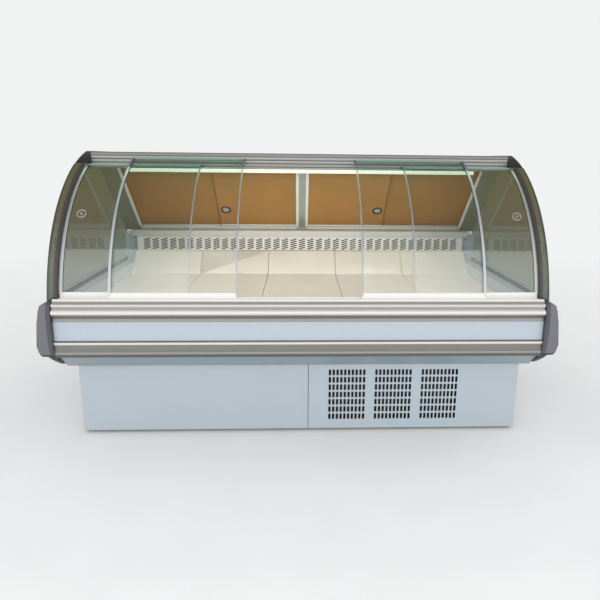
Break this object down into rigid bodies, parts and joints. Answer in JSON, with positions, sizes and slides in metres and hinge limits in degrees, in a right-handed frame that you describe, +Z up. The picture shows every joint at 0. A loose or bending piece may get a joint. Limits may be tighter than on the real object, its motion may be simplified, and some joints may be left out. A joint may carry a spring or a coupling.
{
  "type": "ice cream dipping cabinet",
  "caption": "Curved-glass refrigerated serve-over counter with sliding front panes, a flat stainless deck, sliding rear doors, an aluminium bumper and a louvred base.",
  "frame": {"origin": "on the floor, under the middle of the cabinet's box", "axes": "+X to the customer's right, -Y towards the customer, +Z up"},
  "size_m": [2.069, 1.088, 1.187],
  "materials": {
    "painted_body": "white painted skin over foam",
    "stainless_steel": "brushed",
    "white_plastic": "satin",
    "aluminium": "anodised, fluted",
    "bumper_panel": "satin blue-grey",
    "grey_plastic": "fine texture",
    "black_plastic": "satin",
    "glass": "clear tempered, green edge",
    "painted_steel": "smooth gloss",
    "lamp": "diffusing tube",
    "galvanised_steel": "spangled zinc",
    "coil_fins": null,
    "dark_plastic": "satin",
    "dark_steel": "semi-gloss black",
    "door_panel": "brown panel"
  },
  "bodies": {
    "cabinet": {"air_grille": "white_plastic", "base_front_panel": "painted_steel", "base_grille_panel": "painted_steel", "base_pan": "galvanised_steel", "base_rear_panel": "painted_steel", "base_side_left": "painted_steel", "base_side_right": "painted_steel", "bumper_lower_rail": "aluminium", "bumper_panel": "bumper_panel", "bumper_upper_rail": "aluminium", "canopy_cover": "painted_steel", "canopy_front_rail": "aluminium", "compressor": "dark_steel", "condenser_coil": "coil_fins", "condenser_shroud": "galvanised_steel", "control_box": "black_plastic", "deck_pan_1": "stainless_steel", "deck_pan_2": "stainless_steel", "deck_pan_3": "stainless_steel", "deck_pan_4": "stainless_steel", "deck_pan_5": "stainless_steel", "end_frame_left": "black_plastic", "end_frame_right": "black_plastic", "end_glass_left": "glass", "end_glass_right": "glass", "end_moulding_left": "grey_plastic", "end_moulding_right": "grey_plastic", "evaporator_coil": "coil_fins", "evaporator_fan_plate": "stainless_steel", "front_glass_track": "aluminium", "inner_liner": "stainless_steel", "insulated_tub": "painted_body", "lamp_housing": "white_plastic", "lamp_tube": "lamp", "rear_jamb_left": "aluminium", "rear_jamb_right": "aluminium", "rear_ledge": "aluminium", "rear_mullion": "aluminium", "rear_track_bottom": "aluminium", "rear_track_top": "aluminium", "service_worktop": "stainless_steel"},
    "pane_inner_left": {"pane_inner_left_glass": "glass", "pane_inner_left_frame": "aluminium"},
    "pane_outer_left": {"pane_outer_left_glass": "glass", "pane_outer_left_frame": "aluminium"},
    "pane_outer_right": {"pane_outer_right_glass": "glass", "pane_outer_right_frame": "aluminium"},
    "pane_inner_right": {"pane_inner_right_glass": "glass", "pane_inner_right_frame": "aluminium"},
    "door_inner_left": {"rear_door_inner_left": "door_panel", "pull_inner_left": "dark_plastic"},
    "door_inner_right": {"rear_door_inner_right": "door_panel", "pull_inner_right": "dark_plastic"},
    "door_outer_left": {"rear_door_outer_left": "door_panel"},
    "door_outer_right": {"rear_door_outer_right": "door_panel"},
    "condenser_fan": {"condenser_fan": "dark_plastic"},
    "evaporator_fan_1": {"evaporator_fan_1": "dark_plastic"},
    "evaporator_fan_2": {"evaporator_fan_2": "dark_plastic"},
    "lamp_switch": {"lamp_switch": "dark_plastic"},
    "power_switch": {"power_switch": "dark_plastic"}
  },
  "joints": [
    {"name": "pane_inner_left_slide", "type": "slide", "parent": "cabinet", "child": "pane_inner_left", "axis": [1, 0, 0], "range_m": [0, 0.44]},
    {"name": "pane_outer_left_slide", "type": "slide", "parent": "cabinet", "child": "pane_outer_left", "axis": [1, 0, 0], "range_m": [-0.19, 0.25]},
    {"name": "pane_outer_right_slide", "type": "slide", "parent": "cabinet", "child": "pane_outer_right", "axis": [1, 0, 0], "range_m": [-0.226, 0.214]},
    {"name": "pane_inner_right_slide", "type": "slide", "parent": "cabinet", "child": "pane_inner_right", "axis": [1, 0, 0], "range_m": [-0.44, 0]},
    {"name": "door_inner_left_slide", "type": "slide", "parent": "cabinet", "child": "door_inner_left", "axis": [1, 0, 0], "range_m": [-0.445, 0]},
    {"name": "door_inner_right_slide", "type": "slide", "parent": "cabinet", "child": "door_inner_right", "axis": [1, 0, 0], "range_m": [0, 0.445]},
    {"name": "door_outer_left_slide", "type": "slide", "parent": "cabinet", "child": "door_outer_left", "axis": [1, 0, 0], "range_m": [0, 0.408]},
    {"name": "door_outer_right_slide", "type": "slide", "parent": "cabinet", "child": "door_outer_right", "axis": [1, 0, 0], "range_m": [-0.408, 0]},
    {"name": "condenser_fan_spin", "type": "hinge", "parent": "cabinet", "child": "condenser_fan", "pos_m": [0.39, -0.28, 0.172], "axis": [0, 1, 0], "continuous": true},
    {"name": "evaporator_fan_1_spin", "type": "hinge", "parent": "cabinet", "child": "evaporator_fan_1", "pos_m": [-0.38, 0.0645, 0.45], "axis": [0, 1, 0], "continuous": true},
    {"name": "evaporator_fan_2_spin", "type": "hinge", "parent": "cabinet", "child": "evaporator_fan_2", "pos_m": [0.38, 0.0645, 0.45], "axis": [0, 1, 0], "continuous": true},
    {"name": "lamp_switch_rock", "type": "hinge", "parent": "cabinet", "child": "lamp_switch", "pos_m": [0.69, 0.497, 0.555], "axis": [1, 0, 0], "range_deg": [0, 14]},
    {"name": "power_switch_rock", "type": "hinge", "parent": "cabinet", "child": "power_switch", "pos_m": [0.73, 0.497, 0.555], "axis": [1, 0, 0], "range_deg": [0, 14]}
  ]
}
